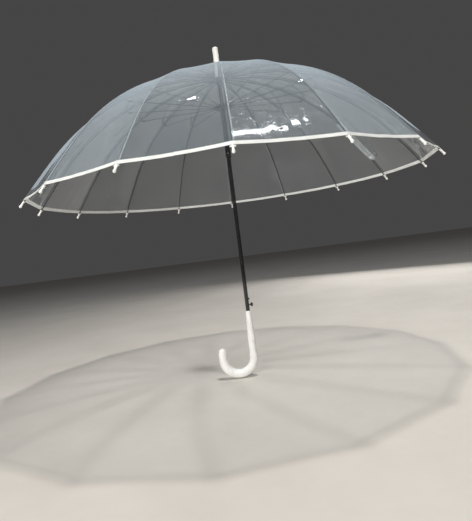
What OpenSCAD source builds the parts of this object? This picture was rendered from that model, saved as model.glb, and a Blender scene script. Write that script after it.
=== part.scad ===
// Clear dome umbrella: a straight shaft with a crook handle, a press-to-open runner, and a ring of
// ribs and stretchers under a canopy welded from one film gore for each gap between ribs.
// Frame: +Z runs up the shaft, the origin is the middle of the straight grip, the crook turns
// towards -X, the release button faces +X, and rib_01 points to -Y.  All sizes are millimetres.

/* [Canopy] */
// Number of ribs, and of gores between them
rib_count = 16; // [12:1:16]
// Thickness of the canopy film
film_t = 0.3; // [0.2:0.05:0.6]
// Smallest gap between the film and the rib under it
film_gap = 0.3; // [0.2:0.1:1]
// Share of a gore's width by which the film pulls in between two ribs
film_pull = 0.015; // [0:0.005:0.04]
// Length along the rib from the film's hem to the end of the tip
hem_setback = 17; // [14:1:26]
// Width of the tie strap
strap_w = 26; // [12:1:32]
// Length of the tie strap
strap_len = 150; // [110:5:180]

/* [Ribs] */
// Diameter of the rib rod
rib_d = 2.6; // [2:0.2:3.2]
// Length along the rib from its crown pivot to the end of its tip
rib_length = 590; // [480:5:720]
// Downward slope of the rib where it leaves the crown, in degrees
rib_slope_in = -1; // [-3:0.5:3]
// Downward slope where the strong inner bend ends, in degrees
rib_slope_out = 49; // [44:1:52]
// Radius of the inner bend
inner_bend_r = 525; // [420:5:640]
// Radius of the slight outer bend
outer_bend_r = 2100; // [1600:50:3000]
// Diameter of the ball at the rib's tip
tip_ball_d = 6; // [5:0.5:7]

/* [Linkage] */
// Radius of the ring of rib pivots in the crown
crown_pivot_r = 10.5; // [10:0.5:13]
// Length along the rib from the crown pivot to the stretcher's clip
clip_s = 238; // [200:2:260]
// Depth of the stretcher pivot below the rib's centre line
clip_drop = 4.5; // [4.2:0.1:6]
// Radius of the ring of stretcher pivots in the runner
hub_pivot_r = 15; // [14.5:0.5:18]
// Height of the crown pivots above the runner pivots when open
hub_drop = 69; // [60:1:80]
// Diameter of the stretcher rod
stretcher_d = 2; // [1.6:0.2:2.4]
// Radius of the ring of tips when closed
closed_tip_r = 26.5; // [24:0.5:40]
// Outward clearance that the open pivot keeps at the closed end
open_pivot_gap = 2; // [1:0.5:3]
// Diameter of the two pivot wires
wire_d = 1; // [0.8:0.1:1.1]

/* [Shaft and runner] */
// Outer diameter of the shaft tube
shaft_d = 10; // [9:0.5:11]
// Wall of the shaft tube
shaft_wall = 0.7; // [0.5:0.1:0.9]
// Radial clearance between the shaft and the sleeve
slide_gap = 0.2; // [0.1:0.05:0.3]
// Wall of the runner's upper sleeve
sleeve_wall = 1.1; // [0.8:0.1:1.2]
// Wall of the runner's lower sleeve
collar_wall = 1.9; // [1.6:0.1:2.4]
// Length of the sleeve below the stretcher pivots
sleeve_len = 128; // [110:1:150]
// Length of the lower sleeve
collar_len = 56; // [40:1:62]
// Height of the hub that holds the stretchers
hub_h = 10; // [8:0.5:12]
// Height of the catch nub above the grip's middle
catch_z = 109; // [104:1:120]
// Travel of the release button
button_travel = 2.8; // [2:0.2:2.8]

/* [Handle and ferrule] */
// Diameter of the straight grip
grip_d = 19.5; // [17:0.5:22]
// Length of the straight grip
grip_len = 70; // [50:2:76]
// Diameter of the handle's mouth, round the shaft
mouth_d = 14; // [13:0.5:16]
// Height of the handle's mouth above the grip's middle
mouth_z = 78; // [70:1:84]
// Radius of the crook's centre line
crook_r = 39.5; // [32:0.5:46]
// Diameter of the crook at its bottom
crook_d = 23; // [21:0.5:25]
// Depth of the crook's start below the grip's middle
crook_start = 41; // [41:1:60]
// Length of the crook's free leg above the bend
leg_len = 30; // [20:1:44]
// Diameter of the free leg
leg_d = 20; // [17:0.5:21]
// Diameter of the ferrule's end
ferrule_d = 14; // [13:0.5:16]
// Diameter of the ferrule's foot, on the film
ferrule_foot_d = 17.5; // [16:0.5:20]
// Height of the ferrule
ferrule_h = 75; // [60:1:90]
// Length of the ferrule's straight end
ferrule_end_len = 26; // [20:1:34]

/* [Hidden] */
function two(n) = n < 10 ? str("0", n) : str(n);
function deg(rad) = rad * 180 / PI;

// Running fits and small fixed details
fit = 0.04;              // radial clearance where one fixed piece sits in another
pin_fit = 0.07;          // radial clearance of a pivot
side_fit = 0.1;          // clearance at each side of a plate in its slot
eye_t = 1.6;             // thickness of the flat eye at an inner end
eye_len = 9;             // length of that eye, up to the round rod
gore_gap = 0.15;         // half the gap between two gores at a rib
rod_lap = 1.5;           // length by which the two arcs of a rib overlap
rod_step = 0.1;          // by how much the outer arc is thinner than the inner one

// Rib centre line: two arcs with one tangent, as functions of the length s from the pivot
step_angle = 360 / rib_count;
inner_s = (rib_slope_out - rib_slope_in) * PI / 180 * inner_bend_r;
function rib_slope(s) = s < inner_s
    ? rib_slope_in + deg(s / inner_bend_r)
    : rib_slope_out + deg((s - inner_s) / outer_bend_r);
function inner_r(a) = crown_pivot_r + inner_bend_r * (sin(a) - sin(rib_slope_in));
function inner_drop(a) = inner_bend_r * (cos(rib_slope_in) - cos(a));
function rib_r(s) = s < inner_s
    ? inner_r(rib_slope(s))
    : inner_r(rib_slope_out) + outer_bend_r * (sin(rib_slope(s)) - sin(rib_slope_out));
function rib_fall(s) = s < inner_s
    ? inner_drop(rib_slope(s))
    : inner_drop(rib_slope_out) + outer_bend_r * (cos(rib_slope_out) - cos(rib_slope(s)));

// Linkage, in one rib's plane, with depths below the crown pivot
clip_slope = rib_slope(clip_s);
joint_r = rib_r(clip_s) - clip_drop * sin(clip_slope);
joint_fall = rib_fall(clip_s) + clip_drop * cos(clip_slope);
rib_link = norm([joint_r - crown_pivot_r, joint_fall]);
stretcher_len = norm([joint_r - hub_pivot_r, hub_drop - joint_fall]);
rib_angle = atan2(joint_r - crown_pivot_r, joint_fall);
stretcher_angle = atan2(joint_r - hub_pivot_r, hub_drop - joint_fall);
tip_chord = norm([rib_r(rib_length) - crown_pivot_r, rib_fall(rib_length)]);
tip_angle = atan2(rib_r(rib_length) - crown_pivot_r, rib_fall(rib_length));
fold = tip_angle - asin((closed_tip_r - crown_pivot_r) / tip_chord);
closed_joint_r = crown_pivot_r + rib_link * sin(rib_angle - fold);
closed_stretcher = asin((closed_joint_r - hub_pivot_r - open_pivot_gap) / stretcher_len);
stretcher_fold = fold + stretcher_angle - closed_stretcher;
runner_travel = rib_link * cos(rib_angle - fold) + stretcher_len * cos(closed_stretcher) - hub_drop;

// Heights: the closed runner's lower end stops just below the catch nub
nub_h = 4.4;
sleeve_overrun = 6;
sleeve_bottom = catch_z - sleeve_overrun + runner_travel;
hub_z = sleeve_bottom + sleeve_len;
crown_z = hub_z + hub_drop;
crown_top = crown_z + 6;
film_seat = crown_top + 0.5;
ferrule_z = film_seat + film_t + 0.4;
socket_depth = 54;

// Shaft and runner radii
shaft_r = shaft_d / 2;
bore_r = shaft_r - shaft_wall;
sleeve_bore = shaft_r + slide_gap;
sleeve_r = sleeve_bore + sleeve_wall;
collar_r = sleeve_bore + collar_wall;
plug_z = hub_z - 14;
plug_h = 18;
drive_pin_r = 1;
crown_r = crown_pivot_r + 3;
hub_r = hub_pivot_r + 2.5;
slot_w = eye_t + 2 * side_fit;
hub_slot_w = stretcher_d + 2 * side_fit + 0.1;
spring_seat = catch_z + 15;
rivet_r = 0.8;
cheek_t = 0.8;
fork_in = eye_t + 2 * side_fit;
button_z = catch_z - 16;
leaf_x = 2.2;
leaf_t = 0.8;

// Puts its children in the plane of one rib, counted from 1
module on_rib(i) {
    rotate([0, 0, -90 + step_angle * (i - 1)]) children();
}

// Puts its children on the rib's centre line, with x outwards along it and z square to it
module at_rib(s) {
    translate([rib_r(s), 0, crown_z - rib_fall(s)]) rotate([0, rib_slope(s), 0]) children();
}

// A cylinder along Y through the origin
module cross_pin(r, len) {
    rotate([90, 0, 0]) cylinder(r = r, h = len, center = true, $fn = 48);
}

// A flat plate of thickness t in the XZ plane from the origin to x = len, round at the origin
module eye_plate(len, h, t) {
    rotate([90, 0, 0]) linear_extrude(height = t, center = true) {
        circle(d = h, $fn = 48);
        translate([0, -h / 2]) square([len, h]);
    }
}

// A round rod of diameter d along an arc of the rib, from slope a to slope b, about the arc's centre
module arc_rod(r, a, b, d) {
    rotate([90, 0, 0]) rotate([0, 0, 90 - b]) rotate_extrude(angle = b - a, $fn = 720)
        translate([r, 0]) circle(d = d, $fn = 32);
}

// A ring of wire round the shaft
module ring(r, d) {
    rotate_extrude($fn = 180) translate([r, 0]) circle(d = d, $fn = 24);
}

module rib_rod() {
    end_slope = rib_slope(rib_length - 6);
    lap_slope = rib_slope_out - deg(rod_lap / outer_bend_r);
    outer_c = inner_bend_r - outer_bend_r;
    difference() {
        union() {
            translate([crown_pivot_r - inner_bend_r * sin(rib_slope_in), 0,
                       crown_z - inner_bend_r * cos(rib_slope_in)]) {
                arc_rod(inner_bend_r, rib_slope(eye_len), rib_slope_out, rib_d);
                translate([outer_c * sin(rib_slope_out), 0, outer_c * cos(rib_slope_out)])
                    arc_rod(outer_bend_r, lap_slope, end_slope, rib_d - rod_step);
            }
            at_rib(0) eye_plate(eye_len + 3, 3.2, eye_t);
        }
        at_rib(0) cross_pin(wire_d / 2 + pin_fit, 10);
    }
}

// The clip crimped on the rib, with the tab that carries the stretcher
module rib_clip() {
    at_rib(clip_s) difference() {
        union() {
            translate([-4.5, -2.1, -2.1]) cube([9, 4.2, 3]);
            rotate([90, 0, 0]) linear_extrude(height = eye_t, center = true) {
                translate([-1.8, -clip_drop]) square([3.6, clip_drop - 1]);
                translate([0, -clip_drop]) circle(r = 1.8, $fn = 48);
            }
        }
        rotate([0, 90, 0]) cylinder(r = rib_d / 2 + fit, h = 12, center = true, $fn = 48);
        translate([0, 0, -clip_drop]) cross_pin(rivet_r + fit, 10);
    }
}

// The rivet that joins a stretcher's fork to the tab
module clip_rivet() {
    grip = fork_in + 2 * cheek_t + 2 * side_fit;
    at_rib(clip_s) translate([0, 0, -clip_drop]) {
        cross_pin(rivet_r, grip + 0.1);
        for (side = [-1, 1]) translate([0, side * (grip / 2 + 0.25), 0]) cross_pin(1.5, 0.5);
    }
}

// The moulded tip: a stem over the rib's end, a cross bar for the hem, and a ball
module rib_tip() {
    ball_r = tip_ball_d / 2;
    hem_clear = 0.5;
    bar_r = 1.2;
    half_len = hem_setback / 2 + 3;
    start = hem_clear - hem_setback;
    bore_len = hem_setback - 2.5;
    at_rib(rib_length - half_len) translate([half_len, 0, 0]) difference() {
        union() {
            rotate([0, 90, 0]) rotate_extrude($fn = 48) {
                polygon([[0, start], [rib_d / 2 + 1, start], [rib_d / 2 + 0.7, -ball_r], [0, -ball_r]]);
                translate([0, -ball_r]) intersection() {
                    circle(r = ball_r, $fn = 48);
                    translate([0, -ball_r]) square([ball_r, tip_ball_d]);
                }
            }
            translate([start + bar_r, 0, 0]) cross_pin(bar_r, 10);
        }
        translate([start - 3.5, 0, 0]) rotate([0, 90, 0])
            cylinder(d = rib_d - rod_step + 2 * fit, h = bore_len, $fn = 48);
    }
}

module rib(i) {
    on_rib(i) {
        color("#1d1e20") rib_rod();
        color("#2a2b2d") rib_clip();
        color("#8d9092") clip_rivet();
        color("#f2f2ef") rib_tip();
    }
}

// The stretcher: a fork at the rib's clip, a round rod, and a flat eye in the runner's hub
module stretcher(i) {
    aim = atan2(hub_drop - joint_fall, hub_pivot_r - joint_r);
    fork_len = 11;
    color("#202124") on_rib(i) translate([joint_r, 0, crown_z - joint_fall]) rotate([0, aim, 0]) {
        difference() {
            union() {
                for (side = [-1, 1]) translate([0, side * (fork_in + cheek_t) / 2, 0])
                    eye_plate(fork_len, 3.2, cheek_t);
                translate([6, -fork_in / 2 - cheek_t, -1.6]) cube([6, fork_in + 2 * cheek_t, 3.2]);
                translate([10, 0, 0]) rotate([0, 90, 0])
                    cylinder(d = stretcher_d, h = stretcher_len - 10 - eye_len + 2, $fn = 32);
                translate([stretcher_len, 0, 0]) rotate([0, 180, 0])
                    eye_plate(eye_len, 2.4, eye_t);
            }
            cross_pin(rivet_r + pin_fit, 10);
            translate([stretcher_len, 0, 0]) cross_pin(wire_d / 2 + pin_fit, 10);
        }
    }
}

// Radial slots for the eyes, from radius r outwards and from z = a to z = b
module eye_slots(r, w, a, b) {
    for (i = [1:rib_count]) on_rib(i) translate([r, -w / 2, a]) cube([30, w, b - a]);
}

module crown() {
    core_r = crown_pivot_r - 3;
    rise = crown_top - crown_z;
    color("#17181a") translate([0, 0, crown_z]) difference() {
        rotate_extrude($fn = 96) polygon([
            [shaft_r + fit, -14], [core_r - 0.6, -14], [core_r - 0.6, -2.6], [crown_r, -2.6],
            [crown_r, rise - 2], [crown_r - 2, rise], [shaft_r + fit, rise]]);
        eye_slots(core_r, slot_w, -3, 2.4);
        ring(crown_pivot_r, wire_d + 0.1);
    }
}

module crown_wire() {
    color("#b9bcbf") translate([0, 0, crown_z]) ring(crown_pivot_r, wire_d);
}

module ferrule() {
    end_z = ferrule_h - ferrule_end_len;
    round_r = 2.5;
    color("#f4f3ef") translate([0, 0, ferrule_z]) difference() {
        union() {
            cylinder(d = ferrule_foot_d, h = 3, $fn = 64);
            cylinder(d1 = ferrule_foot_d - 1, d2 = ferrule_d, h = end_z, $fn = 64);
            translate([0, 0, end_z - 0.01]) rotate_extrude($fn = 64) {
                square([ferrule_d / 2 - round_r, ferrule_end_len]);
                square([ferrule_d / 2, ferrule_end_len - round_r]);
                translate([ferrule_d / 2 - round_r, ferrule_end_len - round_r])
                    circle(r = round_r, $fn = 32);
            }
        }
        translate([0, 0, -1]) cylinder(r = shaft_r + fit, h = socket_depth + 1, $fn = 64);
    }
}

// The shaft tube, with the long slots of the drive pin and the windows of the catch and button
module shaft() {
    bottom = -20;
    top = ferrule_z + socket_depth - 1;
    slot_bottom = plug_z - runner_travel - 4;
    color("#121315") difference() {
        union() {
            difference() {
                translate([0, 0, bottom]) cylinder(r = shaft_r, h = top - bottom, $fn = 64);
                translate([0, 0, bottom - 1]) cylinder(r = bore_r, h = top - bottom + 2, $fn = 64);
            }
            translate([0, 0, spring_seat]) difference() {
                cylinder(r = bore_r + shaft_wall / 2, h = 1.2, $fn = 64);
                translate([0, 0, -1]) cylinder(r = 2, h = 4, $fn = 48);
            }
        }
        for (side = [0, 180]) rotate([0, 0, side]) translate([0, -drive_pin_r - 0.25, slot_bottom])
            cube([shaft_d, 2 * drive_pin_r + 0.5, plug_z + 4 - slot_bottom]);
        translate([0, -1.6, catch_z - nub_h / 2 - 0.8]) cube([shaft_d, 3.2, nub_h + 1.6]);
        translate([0, 0, button_z]) rotate([0, 90, 0]) cylinder(r = 1.4, h = shaft_d, $fn = 32);
    }
}

// The catch: a steel leaf inside the shaft with a nub that stands out of its window
module catch_spring() {
    nub_out = shaft_r + 3;
    color("#2b2c2f") {
        translate([leaf_x, -1.5, button_z - 7]) cube([leaf_t, 3, catch_z + 6 - button_z + 7]);
        translate([0, 0, catch_z]) rotate([90, 0, 0])
            linear_extrude(height = 2.6, center = true) polygon([
                [leaf_x + leaf_t / 2, -nub_h / 2], [nub_out, -nub_h / 2], [nub_out, -0.4],
                [shaft_r + 0.6, nub_h / 2], [leaf_x + leaf_t / 2, nub_h / 2]]);
    }
}

// The release button: an oval cap outside the shaft and a stem that reaches the leaf
module release_button() {
    cap_r = 3.3;
    cap_h = 10.5;
    cap_x = shaft_r + button_travel + 0.3 + cap_r;
    stem_x = leaf_x + leaf_t + 0.05;
    color("#151618") translate([0, 0, button_z]) {
        translate([stem_x, 0, 0]) rotate([0, 90, 0]) cylinder(r = 1.3, h = cap_x - stem_x, $fn = 32);
        translate([cap_x, 0, 0]) rotate_extrude($fn = 64) {
            translate([0, cap_r - cap_h / 2]) square([cap_r, cap_h - 2 * cap_r]);
            for (end = [-1, 1]) intersection() {
                translate([0, end * (cap_h / 2 - cap_r)]) circle(r = cap_r, $fn = 64);
                translate([0, -cap_h / 2]) square([cap_r, cap_h]);
            }
        }
    }
}

// The runner: a slotted hub on a long sleeve with a thicker lower end
module runner() {
    color("#16171a") translate([0, 0, hub_z]) difference() {
        rotate_extrude($fn = 96) polygon([
            [sleeve_bore, -sleeve_len], [collar_r + 0.5, -sleeve_len],
            [collar_r + 0.5, -sleeve_len + 4], [collar_r, -sleeve_len + 5],
            [collar_r, -sleeve_len + collar_len - 2], [sleeve_r, -sleeve_len + collar_len],
            [sleeve_r, -hub_h / 2], [hub_r, -hub_h / 2], [hub_r, hub_h / 2 - 1],
            [hub_r - 1, hub_h / 2], [sleeve_r + 0.6, hub_h / 2], [sleeve_r + 0.6, hub_h / 2 + 3],
            [sleeve_bore, hub_h / 2 + 3]]);
        eye_slots(sleeve_r + 0.6, hub_slot_w, -hub_h / 2 - 1, hub_h / 2 + 1);
        ring(hub_pivot_r, wire_d + 0.1);
        translate([-20, 0, plug_z - hub_z]) rotate([0, 90, 0])
            cylinder(r = drive_pin_r + fit, h = 40, $fn = 32);
        translate([0, -2, -sleeve_len - 1])
            cube([20, 4, sleeve_overrun + nub_h + 4]);
        translate([0, 0, -sleeve_len + 11]) rotate([90, 0, 0])
            cylinder(r = 1.4 + fit, h = 20, $fn = 32);
    }
}

// The wire of the stretcher pivots, in the teeth of the hub; its gaps are the open pivot
module runner_wire() {
    color("#b9bcbf") translate([0, 0, hub_z]) difference() {
        ring(hub_pivot_r, wire_d);
        eye_slots(hub_pivot_r - 2, hub_slot_w + 0.4, -2, 2);
    }
}

// The plug that the spring pushes, its drive pin, and the small rivet of the lower sleeve
module drive_plug() {
    plug_r = bore_r - 0.15;
    pin_len = 2 * (sleeve_r - 0.1);
    color("#c4c6c8") {
        translate([0, 0, plug_z - plug_h / 2]) cylinder(r = plug_r, h = plug_h, $fn = 48);
        translate([-pin_len / 2, 0, plug_z]) rotate([0, 90, 0])
            cylinder(r = drive_pin_r, h = pin_len, $fn = 32);
        translate([0, -sleeve_bore - 0.1, sleeve_bottom + 11]) rotate([90, 0, 0]) {
            cylinder(r = 1.4, h = collar_wall, $fn = 32);
            translate([0, 0, collar_wall]) cylinder(r = 2.1, h = 0.8, $fn = 32);
        }
    }
}

// The opening spring: a wire coil inside the shaft, between its seat and the drive plug
module opening_spring() {
    coil_r = bore_r - 1.1;
    wire_r = 0.45;
    turns = 48;
    per_turn = 9;
    sides = 4;
    bottom = spring_seat + 1.2 + wire_r + 0.1;
    top = plug_z - plug_h / 2 - wire_r - 0.1;
    count = turns * per_turn;
    points = [for (k = [0:count]) for (j = [0:sides - 1])
        let (a = 360 * k / per_turn, b = 360 * j / sides, r = coil_r + wire_r * cos(b))
        [r * cos(a), r * sin(a), bottom + (top - bottom) * k / count + wire_r * sin(b)]];
    walls = [for (k = [0:count - 1]) for (j = [0:sides - 1])
        let (p = k * sides + j, q = k * sides + (j + 1) % sides)
        each [[p, q, q + sides], [p, q + sides, p + sides]]];
    first = [for (j = [0:sides - 1]) sides - 1 - j];
    last = [for (j = [0:sides - 1]) count * sides + j];
    color("#9fa2a5") polyhedron(points = points, faces = concat([first], walls, [last]));
}

// The crook handle: a mouth round the shaft, a straight grip, and a round bend towards -X
module handle() {
    taper_h = mouth_z - grip_len / 2;
    color("#eeede8") difference() {
        union() {
            translate([0, 0, mouth_z - 6]) cylinder(d = mouth_d, h = 6, $fn = 64);
            translate([0, 0, grip_len / 2]) cylinder(d1 = grip_d, d2 = mouth_d, h = taper_h - 6, $fn = 64);
            translate([0, 0, -grip_len / 2]) cylinder(d = grip_d, h = grip_len, $fn = 64);
            translate([0, 0, -crook_start])
                cylinder(d1 = crook_d, d2 = grip_d, h = crook_start - grip_len / 2, $fn = 64);
            translate([-crook_r, 0, -crook_start]) rotate([90, 0, 0]) rotate([0, 0, 180])
                rotate_extrude(angle = 180, $fn = 180)
                    translate([crook_r, 0]) circle(d = crook_d, $fn = 64);
            translate([-2 * crook_r, 0, -crook_start]) {
                cylinder(d1 = crook_d, d2 = leg_d, h = leg_len / 2, $fn = 64);
                cylinder(d = leg_d, h = leg_len - leg_d / 2, $fn = 64);
                translate([0, 0, leg_len - leg_d / 2]) sphere(d = leg_d, $fn = 64);
            }
        }
        translate([0, 0, -21]) cylinder(r = shaft_r + fit, h = mouth_z + 22, $fn = 64);
    }
}

// Film rows along a gore: its panels are flat between rows, so the film stands off by their sag too
rows_start = 14;
row_count = 13;
hem_s = rib_length - hem_setback;
row_step = (hem_s - rows_start) / row_count;
row_sag = row_step * row_step / (8 * inner_bend_r);

// Height of the film's inner face above the rib's centre line: clear of the crown, then near the rib
lift_end = 90;
rib_lift = rib_d / 2 + film_gap + row_sag;
crown_lift = film_seat - crown_z;
function film_lift(s) = s >= lift_end
    ? rib_lift
    : rib_lift + (crown_lift - rib_lift) * pow(1 - max(s, 0) / lift_end, 2);

// A point of the film at length s, lift h and share u of the way from one rib to the next
function gore_point(s, u, h) =
    let (flat = max(s, 0),
         r = rib_r(flat) + h * sin(rib_slope(flat)) - (s < 0 ? -s : 0),
         half = r * sin(step_angle / 2),
         side = (u - 0.5) * 2 * (half - gore_gap),
         pull = film_pull * 2 * half * 4 * u * (1 - u),
         out = r * cos(step_angle / 2) - pull * sin(rib_slope(flat)))
    [out, side, crown_z - rib_fall(flat) + h * cos(rib_slope(flat)) - pull * cos(rib_slope(flat))];

// One gore: a closed skin over a grid of points on its inner and its outer face
module canopy_gore(i) {
    rows = concat([-2, 1.5, 6], [for (k = [0:row_count]) rows_start + row_step * k]);
    across = 4;
    n = len(rows);
    m = across + 1;
    inner = [for (s = rows) for (k = [0:across]) gore_point(s, k / across, film_lift(s))];
    outer = [for (s = rows) for (k = [0:across]) gore_point(s, k / across, film_lift(s) + film_t)];
    top = n * m;
    faces = concat(
        [for (a = [0:n - 2]) for (b = [0:across - 1])
            [a * m + b, a * m + b + 1, (a + 1) * m + b + 1, (a + 1) * m + b]],
        [for (a = [0:n - 2]) for (b = [0:across - 1])
            [top + a * m + b, top + (a + 1) * m + b, top + (a + 1) * m + b + 1, top + a * m + b + 1]],
        [for (a = [0:n - 2]) [a * m, (a + 1) * m, top + (a + 1) * m, top + a * m]],
        [for (a = [0:n - 2])
            [a * m + across, top + a * m + across, top + (a + 1) * m + across, (a + 1) * m + across]],
        [for (b = [0:across - 1]) [b, top + b, top + b + 1, b + 1]],
        [for (b = [0:across - 1])
            [(n - 1) * m + b, (n - 1) * m + b + 1, top + (n - 1) * m + b + 1, top + (n - 1) * m + b]]);
    color("#cfe0e6", 0.35) rotate([0, 0, -90 + step_angle * (i - 0.5)])
        polyhedron(points = concat(inner, outer), faces = faces);
}

// The tie strap, hanging loose under one gore close to rib 6, with its snap at the lower end
module tie_strap() {
    strap_rib = 6;
    strap_t = 0.5;
    beside = 4;
    below = 9;
    lean = 6;
    snap_d = 10;
    snap_t = 1.6;
    on_rib(strap_rib) at_rib(rib_length - 80) translate([0, -strap_w / 2 - beside, -below])
        color("#dfe6e6", 0.6) rotate([0, -lean, 0]) {
            translate([-strap_len, -strap_w / 2, 0]) cube([strap_len, strap_w, strap_t]);
            translate([-snap_d, strap_w / 2 - snap_d, strap_t])
                cylinder(d = snap_d, h = snap_t, $fn = 48);
        }
}

shaft();
ferrule();
crown();
crown_wire();
handle();
release_button();
catch_spring();
runner();
runner_wire();
drive_plug();
opening_spring();
tie_strap();
for (i = [1:rib_count]) {
    rib(i);
    stretcher(i);
    canopy_gore(i);
}
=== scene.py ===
"""Clear dome umbrella: the welded film canopy, hem, strap, spring, handle and every material.

The CAD frame stays as it is; what is made here stands in for its plain solids."""

import math

import bmesh
import bpy
import numpy as np
from mathutils import Matrix, Vector, noise


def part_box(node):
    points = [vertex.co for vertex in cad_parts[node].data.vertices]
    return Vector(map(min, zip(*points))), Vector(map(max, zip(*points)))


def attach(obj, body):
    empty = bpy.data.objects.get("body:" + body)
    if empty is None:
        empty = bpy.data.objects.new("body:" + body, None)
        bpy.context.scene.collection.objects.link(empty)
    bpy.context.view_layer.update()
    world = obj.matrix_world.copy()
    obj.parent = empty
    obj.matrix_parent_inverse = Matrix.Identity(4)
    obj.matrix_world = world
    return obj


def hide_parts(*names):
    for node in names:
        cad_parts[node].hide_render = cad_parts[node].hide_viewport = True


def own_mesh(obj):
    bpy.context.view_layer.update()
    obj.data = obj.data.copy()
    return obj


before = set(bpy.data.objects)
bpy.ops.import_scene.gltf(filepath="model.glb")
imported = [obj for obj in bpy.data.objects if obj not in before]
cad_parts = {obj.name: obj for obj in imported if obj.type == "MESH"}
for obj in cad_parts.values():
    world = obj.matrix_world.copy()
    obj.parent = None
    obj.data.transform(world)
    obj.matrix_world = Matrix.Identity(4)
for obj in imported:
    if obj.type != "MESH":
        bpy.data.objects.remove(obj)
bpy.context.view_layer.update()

MM = 0.001

# The design's own sizes, in metres and radians, as the CAD source has them
RIBS = 16
STEP = math.tau / RIBS
ROD_D = 2.6 * MM
PIVOT_R = 10.5 * MM
RIB_LENGTH = 590 * MM
HEM_S = RIB_LENGTH - 17 * MM
SLOPE_IN = math.radians(-1)
SLOPE_OUT = math.radians(49)
INNER_R = 0.525
OUTER_R = 2.1
FILM_T = 0.3 * MM
FILM_GAP = 0.3 * MM
ROW_STEP = (HEM_S - 14 * MM) / 13
FILM_PULL = 0.015
LIFT_END = 90 * MM
CROWN_LIFT = 6.5 * MM
CLIP_S = 238 * MM
CLIP_DROP = 4.5 * MM
RIVET_R = 1.56 * MM
TIP_START = HEM_S + 0.25 * MM
TIP_MIDDLE = RIB_LENGTH - 11.5 * MM
HEM_W = 8 * MM
RUNNER_TRAVEL = 368.013 * MM
SHAFT_R = 5 * MM
MOUTH_D = 14 * MM
GRIP_D = 19.5 * MM
CROOK_R = 39.5 * MM
CROOK_D = 23 * MM
LEG_D = 20 * MM
LEG_LEN = 30 * MM
STRAP_W = 26 * MM
STRAP_LEN = 150 * MM
STRAP_T = 0.5 * MM
STRAP_S = RIB_LENGTH - 80 * MM
STRAP_BELOW = 9 * MM
STRAP_BESIDE = 4 * MM
STRAP_LEAN = math.radians(6)
SNAP_D = 10 * MM

# Puckers in the film: their height, where along the rib they start, and over what length they grow
PUCKER_DEPTH = 0.55 * MM
PUCKER_START = 0.30
PUCKER_GROWTH = 0.25

wire_low, wire_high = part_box("crown_wire")
CROWN_Z = (wire_low.z + wire_high.z) / 2
FLOOR_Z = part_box("handle")[0].z
INNER_S = (SLOPE_OUT - SLOPE_IN) * INNER_R


def two(i):
    return f"{i:02d}"


# ---------------------------------------------------------------- the rib's curve and the film over it

def rib_slope(s):
    return np.where(s < INNER_S, SLOPE_IN + s / INNER_R, SLOPE_OUT + (s - INNER_S) / OUTER_R)


def rib_r(s):
    a = rib_slope(s)
    bend_end = PIVOT_R + INNER_R * (math.sin(SLOPE_OUT) - math.sin(SLOPE_IN))
    inner = PIVOT_R + INNER_R * (np.sin(a) - math.sin(SLOPE_IN))
    return np.where(s < INNER_S, inner, bend_end + OUTER_R * (np.sin(a) - math.sin(SLOPE_OUT)))


def rib_fall(s):
    a = rib_slope(s)
    bend_end = INNER_R * (math.cos(SLOPE_IN) - math.cos(SLOPE_OUT))
    inner = INNER_R * (math.cos(SLOPE_IN) - np.cos(a))
    return np.where(s < INNER_S, inner, bend_end + OUTER_R * (math.cos(SLOPE_OUT) - np.cos(a)))


def film_lift(s):
    """Height of the film's inner face over the rib's centre line."""
    rib_lift = ROD_D / 2 + FILM_GAP + ROW_STEP**2 / (8 * INNER_R)
    near = np.clip(1 - np.maximum(s, 0) / LIFT_END, 0, 1)
    return rib_lift + (CROWN_LIFT - rib_lift) * near**2


def pucker(angle, s, u):
    """Small folds that run down a gore, strongest near the hem and in the middle of the gore."""
    depth = PUCKER_DEPTH * np.clip((s - PUCKER_START) / PUCKER_GROWTH, 0, 1) ** 2 * np.sin(np.pi * u) ** 2
    places = list(zip(angle.ravel(), s.ravel()))
    fine = [noise.noise(Vector((a * 34, t * 5, 0.3))) for a, t in places]
    broad = [noise.noise(Vector((a * 9, t * 4, 7.1))) for a, t in places]
    return depth * (np.array(fine) + np.array(broad)).reshape(s.shape)


def film_point(rib, s, t, lift):
    """World point of the film at length s, where t is 0 on this rib and +0.5 or -0.5 midway to the next."""
    s, t, lift = np.broadcast_arrays(*(np.asarray(value, float) for value in (s, t, lift)))
    u = np.where(t < 0, t + 1, t)
    gore = rib + np.where(t < 0, -0.5, 0.5)
    flat = np.maximum(s, 0)
    slope = rib_slope(flat)
    r = rib_r(flat) + lift * np.sin(slope) - np.maximum(-s, 0)
    half = r * math.sin(STEP / 2)
    side = (u - 0.5) * 2 * half
    azimuth = -math.pi / 2 + STEP * (gore - 1)
    pull = FILM_PULL * 2 * half * 4 * u * (1 - u) - pucker(azimuth + (u - 0.5) * STEP, s, u)
    out = r * math.cos(STEP / 2) - pull * np.sin(slope)
    z = CROWN_Z - rib_fall(flat) + lift * np.cos(slope) - pull * np.cos(slope)
    x = out * np.cos(azimuth) - side * np.sin(azimuth)
    y = out * np.sin(azimuth) + side * np.cos(azimuth)
    return np.stack([x, y, z], -1)


# ---------------------------------------------------------------- mesh helpers

def new_object(name, points, faces):
    mesh = bpy.data.meshes.new(name)
    mesh.from_pydata([tuple(p) for p in points], [], faces)
    mesh.validate()
    mesh.shade_smooth()
    obj = bpy.data.objects.new(name, mesh)
    bpy.context.scene.collection.objects.link(obj)
    return obj


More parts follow.
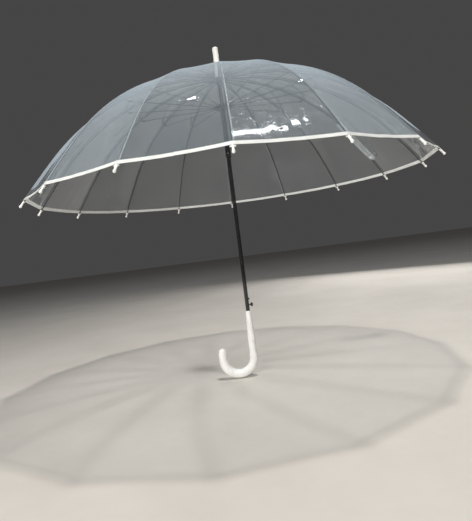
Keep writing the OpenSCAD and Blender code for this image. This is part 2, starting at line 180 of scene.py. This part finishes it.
def swept(name, rings, smooth_angle=35):
    """A skin over rings of points, each ring a closed loop, with its two ends capped."""
    rings = [np.asarray(r) for r in rings]
    n = len(rings[0])
    points = np.concatenate(rings)
    faces = []
    for i in range(len(rings) - 1):
        for j in range(n):
            k = (j + 1) % n
            faces.append((i * n + j, i * n + k, (i + 1) * n + k, (i + 1) * n + j))
    faces.append(tuple(reversed(range(n))))
    faces.append(tuple(range((len(rings) - 1) * n, len(rings) * n)))
    obj = new_object(name, points, faces)
    tidy = bmesh.new()
    tidy.from_mesh(obj.data)
    bmesh.ops.recalc_face_normals(tidy, faces=tidy.faces)
    tidy.to_mesh(obj.data)
    tidy.free()
    obj.data.shade_smooth()
    obj.data.set_sharp_from_angle(angle=math.radians(smooth_angle))
    return obj


# ---------------------------------------------------------------- materials

class Graph:
    """A material's node graph, with short calls for the nodes used here."""

    def __init__(self, name):
        self.material = bpy.data.materials.new(name)
        self.material.use_nodes = True
        self.nodes = self.material.node_tree.nodes
        self.links = self.material.node_tree.links
        self.nodes.clear()
        self.place = self.add("ShaderNodeTexCoord").outputs["Object"]

    def add(self, kind, inputs=(), **settings):
        node = self.nodes.new(kind)
        for key, value in settings.items():
            setattr(node, key, value)
        for key, value in dict(inputs).items():
            self.put(node.inputs[key], value)
        return node

    def put(self, socket, value):
        if isinstance(value, bpy.types.NodeSocket):
            self.links.new(value, socket)
        else:
            socket.default_value = value

    def math(self, operation, a, b=0.0, c=0.0, clamp=False):
        node = self.add("ShaderNodeMath", operation=operation, use_clamp=clamp)
        for socket, value in zip(node.inputs, (a, b, c)):
            self.put(socket, value)
        return node.outputs[0]

    def ramp(self, value, low, high, to_low=0.0, to_high=1.0):
        inputs = {"Value": value, "From Min": low, "From Max": high, "To Min": to_low, "To Max": to_high}
        node = self.add("ShaderNodeMapRange", inputs, clamp=True)
        return node.outputs[0]

    def mix(self, share, a, b):
        node = self.add("ShaderNodeMix", data_type="RGBA")
        self.put(node.inputs[0], share)
        self.put(node.inputs[6], a)
        self.put(node.inputs[7], b)
        return node.outputs[2]

    def noise(self, scale, detail=4.0, rough=0.55, stretch=(1, 1, 1), distort=0.0):
        place = self.add("ShaderNodeMapping", {"Vector": self.place, "Scale": stretch}).outputs[0]
        node = self.add("ShaderNodeTexNoise", {
            "Vector": place, "Scale": scale, "Detail": detail, "Roughness": rough, "Distortion": distort})
        return node.outputs["Fac"]

    def bump(self, height, strength, distance):
        node = self.add("ShaderNodeBump", {"Height": height, "Strength": strength, "Distance": distance})
        return node.outputs[0]

    def principled(self, **inputs):
        names = {k: k.replace("_", " ").title().replace("Ior", "IOR") for k in inputs}
        return self.add("ShaderNodeBsdfPrincipled", {names[k]: v for k, v in inputs.items()})

    def finish(self, shader):
        out = self.add("ShaderNodeOutputMaterial")
        self.links.new(shader, out.inputs["Surface"])
        return self.material


def rgb(r, g, b):
    return (r, g, b, 1.0)


def moulded(name, dark, light, rough, coat=0.0, grain=900, depth=0.02, blotch=35,
            stretch=(1, 1, 1), metallic=0.0):
    """Moulded, drawn or enamelled surface: soft colour variation, handled roughness and a fine grain."""
    g = Graph(name)
    cloud = g.noise(blotch, 5, 0.6, stretch)
    fine = g.noise(grain, 3, 0.6, stretch)
    marks = g.noise(blotch * 4, 6, 0.7, stretch, 0.6)
    colour = g.mix(g.ramp(cloud, 0.35, 0.68), dark, light)
    roughness = g.math("ADD", g.ramp(marks, 0.4, 0.75, rough * 0.8, rough * 1.35),
                       g.ramp(fine, 0.3, 0.7, -0.015, 0.03))
    normal = g.bump(g.math("ADD", fine, g.math("MULTIPLY", marks, 0.5)), 0.25, depth * MM)
    return g.finish(g.principled(base_color=colour, roughness=roughness, normal=normal, coat_weight=coat,
                                 coat_roughness=0.06, metallic=metallic).outputs[0])


def rib_material():
    """Black fibreglass rod and clip, a steel rivet at the stretcher's joint, and a white tip past the hem."""
    g = Graph("rib_finish")
    xyz = g.add("ShaderNodeSeparateXYZ", {"Vector": g.place}).outputs
    r = g.math("SQRT", g.math("ADD", g.math("MULTIPLY", xyz[0], xyz[0]), g.math("MULTIPLY", xyz[1], xyz[1])))
    a = float(rib_slope(np.array(TIP_MIDDLE)))
    start = np.array(TIP_START)
    limit = float(rib_r(start)) * math.cos(a) - (CROWN_Z - float(rib_fall(start))) * math.sin(a)
    along = g.math("SUBTRACT", g.math("MULTIPLY", r, math.cos(a)), g.math("MULTIPLY", xyz[2], math.sin(a)))
    tip = g.math("GREATER_THAN", along, limit)
    clip_slope = float(rib_slope(np.array(CLIP_S)))
    joint_r = float(rib_r(np.array(CLIP_S))) - CLIP_DROP * math.sin(clip_slope)
    joint_z = CROWN_Z - float(rib_fall(np.array(CLIP_S))) - CLIP_DROP * math.cos(clip_slope)
    dr = g.math("SUBTRACT", r, joint_r)
    dz = g.math("SUBTRACT", xyz[2], joint_z)
    far = g.math("SQRT", g.math("ADD", g.math("MULTIPLY", dr, dr), g.math("MULTIPLY", dz, dz)))
    rivet = g.math("LESS_THAN", far, RIVET_R)
    cloud = g.noise(60, 5, 0.6)
    fibre = g.noise(1400, 3, 0.6)
    rod = g.mix(g.ramp(cloud, 0.35, 0.7), rgb(0.012, 0.013, 0.016), rgb(0.035, 0.037, 0.042))
    white = g.mix(g.ramp(cloud, 0.35, 0.7), rgb(0.80, 0.80, 0.77), rgb(0.90, 0.90, 0.88))
    steel = g.mix(g.ramp(fibre, 0.3, 0.7), rgb(0.42, 0.43, 0.45), rgb(0.66, 0.67, 0.69))
    colour = g.mix(rivet, g.mix(tip, rod, white), steel)
    roughness = g.math("ADD", g.ramp(fibre, 0.3, 0.7, 0.24, 0.36), g.math("MULTIPLY", cloud, 0.08))
    shader = g.principled(base_color=colour, roughness=roughness, metallic=rivet, coat_weight=0.25,
                          coat_roughness=0.12, normal=g.bump(fibre, 0.3, 0.03 * MM))
    return g.finish(shader.outputs[0])


def film_material():
    """Clear vinyl: a faint blue-grey veil, a smooth gloss, and creases where it was folded. The veil grows
    towards grazing angles and is partly the film's haze and partly a painted reflection of a bluish ceiling;
    along the creases it is partly whitened fold and partly a painted highlight.
    """
    g = Graph("clear_film")
    ripple = g.noise(11, 3, 0.5, (1, 1, 1), 0.8)
    crinkle = g.noise(70, 5, 0.62, (1, 1, 0.6), 1.6)
    dust = g.noise(420, 3, 0.6)
    fold = g.math("ABSOLUTE", g.math("SUBTRACT", g.noise(26, 3, 0.55, (1, 1, 0.7), 1.4), 0.5))
    creased = g.ramp(g.noise(6, 2, 0.5), 0.50, 0.60)
    crease = g.math("MULTIPLY", g.ramp(fold, 0.0, 0.022, 1.0, 0.0), creased)
    height = g.math("ADD", ripple, g.math("MULTIPLY", crinkle, 0.10))
    height = g.math("ADD", height, g.math("MULTIPLY", crease, 0.45))
    normal = g.bump(height, 0.13, 1.0 * MM)
    slant = g.add("ShaderNodeLayerWeight", {"Blend": 0.5}).outputs["Facing"]
    # Painted reflection: a blue-grey milky share that grows towards grazing angles, partly the film's haze
    # seen along a longer path and partly standing in for the ceiling's reflection.
    haze_and_painted_sheen = g.math("MULTIPLY", g.math("POWER", slant, 3.0), 0.35)
    haze_and_painted_sheen = g.math("ADD", g.ramp(crinkle, 0.45, 0.75, 0.06, 0.09), haze_and_painted_sheen)
    haze_and_painted_sheen = g.math("ADD", haze_and_painted_sheen, g.ramp(dust, 0.62, 0.8, 0.0, 0.04))
    # Painted highlight: more of the milky colour along the crease lines, partly the whitened fold and partly
    # a highlight painted along it.
    haze_and_painted_sheen = g.math("ADD", haze_and_painted_sheen, g.math("MULTIPLY", crease, 0.16), clamp=True)
    tint = g.mix(g.ramp(ripple, 0.3, 0.7), rgb(0.90, 0.935, 0.95), rgb(0.95, 0.97, 0.98))
    clear = g.add("ShaderNodeBsdfTransparent", {"Color": tint})
    # The milky colour: the film's own blue-grey haze, also used as a painted bluish reflection of the
    # ceiling.
    milk_and_painted_sheen = g.mix(g.ramp(ripple, 0.3, 0.7), rgb(0.40, 0.48, 0.54), rgb(0.54, 0.62, 0.67))
    body = g.principled(base_color=milk_and_painted_sheen, roughness=g.ramp(crinkle, 0.4, 0.8, 0.16, 0.34), normal=normal)
    film = g.add("ShaderNodeMixShader", {0: haze_and_painted_sheen, 1: clear.outputs[0], 2: body.outputs[0]})
    gloss = g.add("ShaderNodeBsdfGlossy", {"Color": rgb(0.97, 0.99, 1.0), "Normal": normal,
                                          "Roughness": g.ramp(dust, 0.4, 0.8, 0.04, 0.09)})
    shine = g.math("ADD", g.math("MULTIPLY", g.math("POWER", slant, 4.0), 0.80), 0.085, clamp=True)
    both = g.add("ShaderNodeMixShader", {0: shine, 1: film.outputs[0], 2: gloss.outputs[0]})
    return g.finish(both.outputs[0])


def frosted_material(name, cover, colour_a, colour_b):
    """Film that is doubled or pressed, so that it looks milky: the weld and the strap."""
    g = Graph(name)
    press = g.noise(240, 4, 0.65, (1, 1, 1), 0.5)
    cloud = g.noise(45, 4, 0.6)
    normal = g.bump(press, 0.6, 0.12 * MM)
    colour = g.mix(g.ramp(cloud, 0.3, 0.7), colour_a, colour_b)
    body = g.principled(base_color=colour, roughness=g.ramp(press, 0.3, 0.7, 0.14, 0.36), normal=normal,
                        coat_weight=0.5)
    clear = g.add("ShaderNodeBsdfTransparent", {"Color": rgb(0.9, 0.94, 0.95)})
    share = g.ramp(press, 0.3, 0.75, cover * 0.75, min(1.0, cover * 1.25))
    both = g.add("ShaderNodeMixShader", {0: share, 1: clear.outputs[0], 2: body.outputs[0]})
    return g.finish(both.outputs[0])


def handle_material():
    """Pearl-white cellulose: clouded cream and grey swirls under a clear gloss."""
    g = Graph("pearl_handle")
    swirl = g.noise(24, 6, 0.62, (1, 1, 0.45), 2.2)
    flake = g.noise(150, 5, 0.7, (1, 1, 0.6), 1.0)
    base = g.mix(g.ramp(swirl, 0.34, 0.68), rgb(0.76, 0.76, 0.735), rgb(0.92, 0.915, 0.895))
    colour = g.mix(g.ramp(flake, 0.5, 0.78, 0.0, 0.55), base, rgb(0.95, 0.945, 0.93))
    roughness = g.ramp(flake, 0.3, 0.75, 0.2, 0.36)
    normal = g.bump(g.math("ADD", flake, g.math("MULTIPLY", swirl, 0.6)), 0.22, 0.25 * MM)
    shader = g.principled(base_color=colour, roughness=roughness, normal=normal, coat_weight=0.7,
                          coat_roughness=0.08)
    return g.finish(shader.outputs[0])


def hem_material():
    """White woven tape folded over the film's edge, with a fine weave that lets some light through."""
    g = Graph("hem_tape")
    weave = g.noise(1500, 2, 0.5)
    cloud = g.noise(30, 4, 0.6)
    colour = g.mix(g.ramp(cloud, 0.3, 0.7), rgb(0.88, 0.88, 0.86), rgb(0.95, 0.95, 0.94))
    colour = g.mix(g.ramp(weave, 0.55, 0.75, 0.0, 0.3), colour, rgb(0.74, 0.74, 0.72))
    shader = g.principled(base_color=colour, roughness=g.ramp(weave, 0.3, 0.7, 0.42, 0.62), coat_weight=0.15,
                          normal=g.bump(weave, 0.5, 0.12 * MM))
    through = g.add("ShaderNodeBsdfTranslucent", {"Color": colour})
    both = g.add("ShaderNodeMixShader", {0: 0.45, 1: shader.outputs[0], 2: through.outputs[0]})
    return g.finish(both.outputs[0])


def paint(node, material):
    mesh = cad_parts[node].data
    mesh.materials.clear()
    mesh.materials.append(material)


def paint_frame():
    black = moulded("shaft_enamel", rgb(0.006, 0.006, 0.007), rgb(0.016, 0.016, 0.018), 0.2,
                    coat=0.8, grain=700, depth=0.015, blotch=40, stretch=(1, 1, 0.2))
    satin = moulded("runner_plastic", rgb(0.012, 0.012, 0.014), rgb(0.026, 0.026, 0.029), 0.3,
                    coat=0.4, grain=1100, depth=0.03)
    white = moulded("ferrule_plastic", rgb(0.78, 0.77, 0.73), rgb(0.90, 0.895, 0.87), 0.28,
                    coat=0.5, grain=900, depth=0.03, blotch=28)
    steel = moulded("drawn_steel", rgb(0.48, 0.49, 0.51), rgb(0.70, 0.71, 0.73), 0.28,
                    grain=1600, blotch=90, stretch=(1, 1, 0.3), metallic=1.0)
    blued = moulded("blued_steel", rgb(0.05, 0.055, 0.065), rgb(0.12, 0.125, 0.135), 0.32,
                    grain=1300, blotch=80, metallic=1.0)
    rod = moulded("stretcher_enamel", rgb(0.012, 0.013, 0.015), rgb(0.032, 0.034, 0.038), 0.3,
                  coat=0.3, grain=1500, blotch=70)
    plans = {"shaft": black, "ferrule": white, "crown": satin, "crown_wire": steel, "release_button": satin,
             "catch_spring": blued, "runner": satin, "runner_wire": steel, "drive_plug": steel,
             "opening_spring": steel}
    for node, material in plans.items():
        paint(node, material)
    ribs = rib_material()
    for i in range(1, RIBS + 1):
        paint(f"rib_{two(i)}", ribs)
        paint(f"stretcher_{two(i)}", rod)
    return steel


# ---------------------------------------------------------------- canopy


FILM_ROWS = np.concatenate([[-1.8 * MM, 1.5 * MM, 6 * MM, 12 * MM], np.linspace(0.02, HEM_S - 0.2 * MM, 62)])
FILM_SHARES = np.concatenate([np.linspace(-0.5, -0.03, 12), [-0.008, 0, 0.008], np.linspace(0.03, 0.5, 12)])


def film_kite(i, material):
    """The film on both sides of rib i, out to the middle of each gore, with the true surface normals."""
    s, t = np.meshgrid(FILM_ROWS, FILM_SHARES, indexing="ij")
    lift = film_lift(s) + FILM_T / 2
    points = film_point(i, s, t, lift)
    ds, dt = 0.5 * MM, 0.004
    below = film_point(i, s + ds, t, film_lift(s + ds) + FILM_T / 2)
    above = film_point(i, s - ds, t, film_lift(s - ds) + FILM_T / 2)
    down = below - above
    across = film_point(i, s, t + dt, lift) - film_point(i, s, t - dt, lift)
    normals = np.cross(down, across)
    normals /= np.linalg.norm(normals, axis=-1, keepdims=True)
    rows, columns = s.shape
    faces = [(a * columns + b, (a + 1) * columns + b, (a + 1) * columns + b + 1, a * columns + b + 1)
             for a in range(rows - 1) for b in range(columns - 1)]
    obj = new_object(f"film_{two(i)}", points.reshape(-1, 3), faces)
    obj.data.normals_split_custom_set_from_vertices([tuple(n) for n in normals.reshape(-1, 3)])
    obj.data.materials.append(material)
    return obj


def hem_band(i, material):
    """The white tape folded over the film's edge: a thin flat loop with a bead at its fold."""
    width, cover, bead = HEM_W, 0.28 * MM, 0.55 * MM
    section = [
        (-width, cover * 0.4), (-width + 0.4 * MM, cover), (-width * 0.5, cover * 1.15),
        (-1.6 * MM, cover), (-0.8 * MM, bead), (0.0, bead * 0.8), (0.35 * MM, 0.0),
        (0.0, -bead * 0.5), (-0.8 * MM, -cover), (-1.6 * MM, -cover * 0.8),
        (-width * 0.5, -cover * 0.9), (-width + 0.4 * MM, -cover * 0.8), (-width, -cover * 0.4)]
    rings = []
    for t in FILM_SHARES:
        s = np.array([HEM_S + ds for ds, dh in section])
        lift = film_lift(s) + FILM_T / 2 + np.array([dh for ds, dh in section])
        rings.append(film_point(i, s, np.full(len(s), t), lift))
    obj = swept(f"hem_{two(i)}", rings)
    obj.data.materials.append(material)
    return obj


def weld_strip(i, material):
    """The welded overlap of two gores, a flat band on the film just beside the rib."""
    near, far = 1.6 * MM, 4.0 * MM
    low, high = 0.06 * MM, 0.24 * MM
    rings = []
    for s in np.linspace(0.05, HEM_S - HEM_W, 70):
        gore = 2 * float(rib_r(np.array(s))) * math.sin(STEP / 2)
        base = float(film_lift(np.array(s))) + FILM_T / 2
        section = ((near, low), (near, high * 0.8), (near + 0.5 * MM, high),
                   (far - 0.5 * MM, high), (far, high * 0.7), (far, low))
        rings.append(np.array([film_point(i, s, d / gore, base + h) for d, h in section]))
    obj = swept(f"weld_{two(i)}", rings)
    obj.data.materials.append(material)
    return obj


def canopy():
    film, hem_tape = film_material(), hem_material()
    weld = frosted_material("weld_band", 0.2, rgb(0.66, 0.72, 0.75), rgb(0.86, 0.90, 0.92))
    for i in range(1, RIBS + 1):
        body, fold = f"rib_body_{two(i)}", f"rib_fold_{two(i)}"
        kite, hem, band = film_kite(i, film), hem_band(i, hem_tape), weld_strip(i, weld)
        for piece in (kite, hem, band):
            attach(piece, body)
        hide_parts(f"canopy_gore_{two(i)}")
        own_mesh(kite)
        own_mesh(hem)


# ---------------------------------------------------------------- tie strap

def tie_strap():
    """A soft band that hangs under the gore beside rib 6, with a moulded snap at its lower end."""
    s = np.array(STRAP_S)
    azimuth = -math.pi / 2 + STEP * 5
    outward = np.array([math.cos(azimuth), math.sin(azimuth), 0])
    across = np.array([-math.sin(azimuth), math.cos(azimuth), 0])
    up = np.array([0, 0, 1])
    slope = float(rib_slope(s))
    on_rib = outward * float(rib_r(s)) + up * (CROWN_Z - float(rib_fall(s)))
    below = -STRAP_BELOW * (outward * math.sin(slope) + up * math.cos(slope))
    slope -= STRAP_LEAN
    length = outward * math.cos(slope) - up * math.sin(slope)
    normal = outward * math.sin(slope) + up * math.cos(slope)
    end = on_rib + below - across * (STRAP_W / 2 + STRAP_BESIDE)
    top = end - length * STRAP_LEN
    cup = [(-1, 0.25), (-0.96, 0.5), (-0.5, 0.38), (0, 0.34), (0.5, 0.38), (0.96, 0.5),
           (1, 0.25), (0.96, 0), (0.5, -0.1), (0, -0.14), (-0.5, -0.1), (-0.96, 0)]
    rings = []
    for k in range(61):
        share = k / 60
        wave = 2.2 * MM * math.sin(share * 7.5) * share * (1 - share)
        centre = top + length * (share * STRAP_LEN) + normal * wave
        rounding = math.sqrt(max(0.0, 1 - max(0.0, share - 0.94) ** 2 / 0.06**2))
        narrow = STRAP_W / 2 * min(1.0, rounding * 0.7 + 0.3)
        rings.append(np.array([centre + across * (c * narrow) + normal * (h * STRAP_T) for c, h in cup]))
    strap = swept("strap_band", rings)
    milky = frosted_material("strap_film", 0.26, rgb(0.74, 0.79, 0.82), rgb(0.88, 0.92, 0.94))
    strap.data.materials.append(milky)
    centre = Vector(end - length * SNAP_D + across * (STRAP_W / 2 - SNAP_D))
    profile = [(0.0, -0.5), (3.0, -0.5), (4.6, -0.3), (5.0, 0.2), (4.8, 0.8), (4.0, 1.3),
               (2.6, 1.5), (2.2, 1.3), (1.2, 1.35), (0.0, 1.4)]
    rings = []
    turn = Vector(normal).to_track_quat("Z", "Y").to_matrix()
    for r, h in profile:
        r = max(r, 0.02) * MM
        rings.append([centre + turn @ Vector((r * math.cos(a), r * math.sin(a), (h + 0.55) * MM))
                      for a in np.linspace(0, math.tau, 40, endpoint=False)])
    snap = swept("strap_snap", rings, smooth_angle=50)
    white = moulded("snap_plastic", rgb(0.82, 0.82, 0.80), rgb(0.92, 0.92, 0.90), 0.3, coat=0.4)
    snap.data.materials.append(white)
    for piece in (strap, snap):
        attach(piece, "rib_body_06")
    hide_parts("tie_strap")
    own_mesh(strap)
    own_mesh(snap)


# ---------------------------------------------------------------- opening spring

def opening_spring(material):
    """The coil inside the shaft, carried whole with the runner body."""
    low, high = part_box("opening_spring")
    wire, travel, turns, per_turn = 0.45 * MM, RUNNER_TRAVEL, 48, 14
    coil = (high.x - low.x) / 2 - wire
    length = high.z - low.z
    rings = []
    for k in range(turns * per_turn + 1):
        a = math.tau * k / per_turn
        z = low.z + wire + (length - 2 * wire) * k / (turns * per_turn)
        ring = []
        for b in np.linspace(0, math.tau, 8, endpoint=False):
            r = coil + wire * math.cos(b)
            ring.append((r * math.cos(a), r * math.sin(a), z + wire * math.sin(b)))
        rings.append(np.array(ring))
    obj = swept("spring_coil", rings, smooth_angle=60)
    obj.data.materials.append(material)
    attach(obj, "runner_body")
    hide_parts("opening_spring")
    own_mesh(obj)


# ---------------------------------------------------------------- handle

def handle():
    """One smooth moulding: a mouth with a rolled lip, a waisted grip, a fuller bend and a domed end."""
    low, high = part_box("handle")
    mouth_z = high.z
    start_z = low.z + (CROOK_D / 2 + CROOK_R)
    straight = mouth_z - start_z
    bend = math.pi * CROOK_R
    total = straight + bend + LEG_LEN

    def place(d):
        if d < straight:
            return Vector((0, 0, mouth_z - d)), Vector((0, 0, -1))
        if d < straight + bend:
            a = (d - straight) / CROOK_R
            return (Vector((-CROOK_R + CROOK_R * math.cos(a), 0, start_z - CROOK_R * math.sin(a))),
                    Vector((-math.sin(a), 0, -math.cos(a))))
        return Vector((-2 * CROOK_R, 0, start_z + d - straight - bend)), Vector((0, 0, 1))

    stops = [
        (0.0, MOUTH_D / 2), (0.012, MOUTH_D / 2 + 0.35 * MM), (0.045, GRIP_D / 2 - 0.8 * MM),
        (0.075, GRIP_D / 2), (0.105, GRIP_D / 2), (straight, GRIP_D / 2 + 0.9 * MM),
        (straight + bend * 0.28, CROOK_D / 2), (straight + bend * 0.8, CROOK_D / 2),
        (straight + bend, LEG_D / 2 + 0.8 * MM), (total, LEG_D / 2)]

    def radius(d):
        for (d0, r0), (d1, r1) in zip(stops, stops[1:]):
            if d <= d1:
                w = (d - d0) / (d1 - d0)
                return r0 + (r1 - r0) * w * w * (3 - 2 * w)
        return stops[-1][1]

    bore = SHAFT_R + 0.05 * MM
    cap = LEG_D / 2
    lengths = np.concatenate([np.linspace(0.002, straight, 40), np.linspace(straight, total - cap, 72)[1:]])
    path = [(0.02, bore), (0.0004, bore), (0.0, bore + 0.3 * MM), (0.0, MOUTH_D / 2 - 0.6 * MM),
            (0.0002, MOUTH_D / 2 - 0.15 * MM), (0.0009, MOUTH_D / 2)]
    path += [(d, radius(d)) for d in lengths]
    path += [(total - cap + cap * math.sin(a), cap * math.cos(a))
             for a in np.linspace(0.12, math.pi / 2 - 0.02, 12)]
    rings = []
    for d, r in path:
        centre, along = place(d)
        side = Vector((0, 1, 0))
        up = along.cross(side)
        rings.append([centre + side * (r * math.cos(a)) + up * (r * math.sin(a))
                      for a in np.linspace(0, math.tau, 64, endpoint=False)])
    obj = swept("handle_moulding", rings, smooth_angle=40)
    obj.data.materials.append(handle_material())
    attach(obj, "root")
    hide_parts("handle")


# ---------------------------------------------------------------- stage

def lamp(name, place, aim, size, power, colour=(1, 1, 1), mirrored=False):
    """A rectangular lamp: it either lights the scene or, when mirrored, is only seen in glossy surfaces."""
    light = bpy.data.lights.new(name, "AREA")
    light.shape = "RECTANGLE"
    light.size, light.size_y = size
    light.energy = power
    light.color = colour
    obj = bpy.data.objects.new(name, light)
    obj.location = place
    obj.rotation_mode = "QUATERNION"
    obj.rotation_quaternion = (Vector(aim) - Vector(place)).to_track_quat("-Z", "Y")
    obj.visible_glossy = mirrored
    obj.visible_diffuse = not mirrored
    obj.visible_camera = False
    bpy.context.scene.collection.objects.link(obj)


def stage():
    reach = 14
    corners = [(-reach, -reach), (reach, -reach), (reach, reach), (-reach, reach)]
    floor = new_object("floor", [(x, y, FLOOR_Z) for x, y in corners], [(0, 1, 2, 3)])
    g = Graph("pale_floor")
    cloud = g.noise(3, 5, 0.6)
    fine = g.noise(60, 4, 0.6)
    colour = g.mix(g.ramp(cloud, 0.3, 0.7), rgb(0.56, 0.525, 0.48), rgb(0.64, 0.605, 0.56))
    floor.data.materials.append(g.finish(g.principled(
        base_color=colour, roughness=g.ramp(fine, 0.3, 0.7, 0.45, 0.6)).outputs[0]))

    world = bpy.data.worlds.new("studio")
    bpy.context.scene.world = world
    world.use_nodes = True
    background = world.node_tree.nodes["Background"]
    background.inputs["Color"].default_value = rgb(0.062, 0.060, 0.060)
    background.inputs["Strength"].default_value = 1.0
    canopy_centre = (0, 0, 0.4)
    lamp("key", (0.35, -0.35, 2.4), (0, 0, 0.2), (0.14, 0.14), 50, (1.0, 0.975, 0.93))
    lamp("front_fill", (-1.4, -2.6, 0.7), canopy_centre, (2.0, 1.4), 80, (1.0, 0.985, 0.965))
    lamp("back_fill", (1.4, 2.4, 0.9), canopy_centre, (2.0, 1.2), 34, (1.0, 0.985, 0.965))
    lamp("ceiling", (0, 3.0, 3.4), (0, 3.0, 0), (11, 11), 200, (0.78, 0.90, 1.0), mirrored=True)
    lamp("streak", (0.45, -0.38, 1.83), (0.07, -0.47, 0.40), (0.03, 0.26), 0.40, mirrored=True)
    for x, y in ((0.25, 0.05), (0.55, 0.25), (-0.35, 0.1), (0.15, -0.55), (0.75, 0.0)):
        lamp(f"sparkle_{x:+.2f}", (x, y, 2.0), canopy_centre, (0.02, 0.02), 0.10, mirrored=True)
    bpy.context.scene.view_settings.view_transform = "Standard"


def camera():
    """The photograph's viewpoint: level with the canopy, close, and rolled a little."""
    data = bpy.data.cameras.new("camera")
    obj = bpy.data.objects.new("camera", data)
    bpy.context.scene.collection.objects.link(obj)
    back = -Vector((0.00578, 0.99955, -0.0294)).normalized()
    right = Vector((0.12608, 0.02844, 0.99161)).cross(back).normalized()
    up = back.cross(right)
    turn = Matrix((right, up, back)).transposed().to_4x4()
    obj.matrix_world = Matrix.Translation((-0.02145, -1.2194, 0.24535)) @ turn
    sensor, view_angle = 24.0, math.radians(57.35)
    data.sensor_fit = "VERTICAL"
    data.sensor_height = sensor
    data.sensor_width = sensor
    data.lens = sensor / 2 / math.tan(view_angle / 2)
    data.clip_start, data.clip_end = 0.02, 60
    bpy.context.scene.camera = obj


camera()
drawn_steel = paint_frame()
canopy()
tie_strap()
opening_spring(drawn_steel)
handle()
stage()
